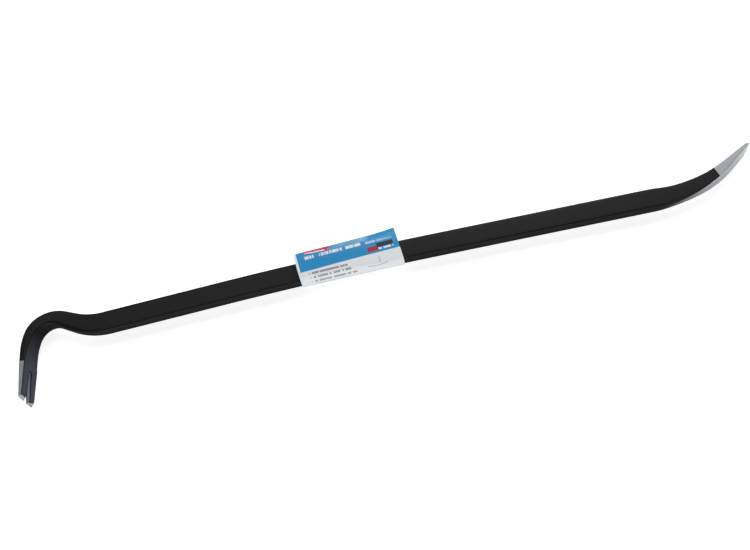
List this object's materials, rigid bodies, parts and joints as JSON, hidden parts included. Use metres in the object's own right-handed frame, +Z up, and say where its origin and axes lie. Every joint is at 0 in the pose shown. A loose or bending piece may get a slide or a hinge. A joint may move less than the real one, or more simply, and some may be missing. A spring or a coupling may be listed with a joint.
{
  "type": "pry bar",
  "caption": "Gooseneck wrecking bar: a bent steel forging with a slotted claw and a curved chisel end, carrying a loose printed card sleeve.",
  "frame": {"origin": "bottom centre of the object's box, with the bar lying on its side", "axes": "+X runs along the shank from the claw to the chisel, +Y is the side that the chisel sweeps towards and the claw points away from, +Z is up across the shank's flats"},
  "size_m": [0.9158, 0.1174, 0.037],
  "materials": {
    "bar_steel": "satin black paint over forged steel, bare ground steel at both tips",
    "sleeve_card": "printed card under a glossy film, blue above and pale grey below",
    "clear_tape": "clear glossy tape"
  },
  "bodies": {
    "bar": {"forged_bar": "bar_steel"},
    "sleeve": {"card_sleeve": "sleeve_card", "seam_tape": "clear_tape"}
  },
  "joints": [
    {"name": "sleeve_slide", "type": "hinge", "parent": "bar", "child": "sleeve", "pos_m": [-0.07, -5, 0.0185], "axis": [0, 0, -1], "range_deg": [-2.7, 3.3]}
  ]
}
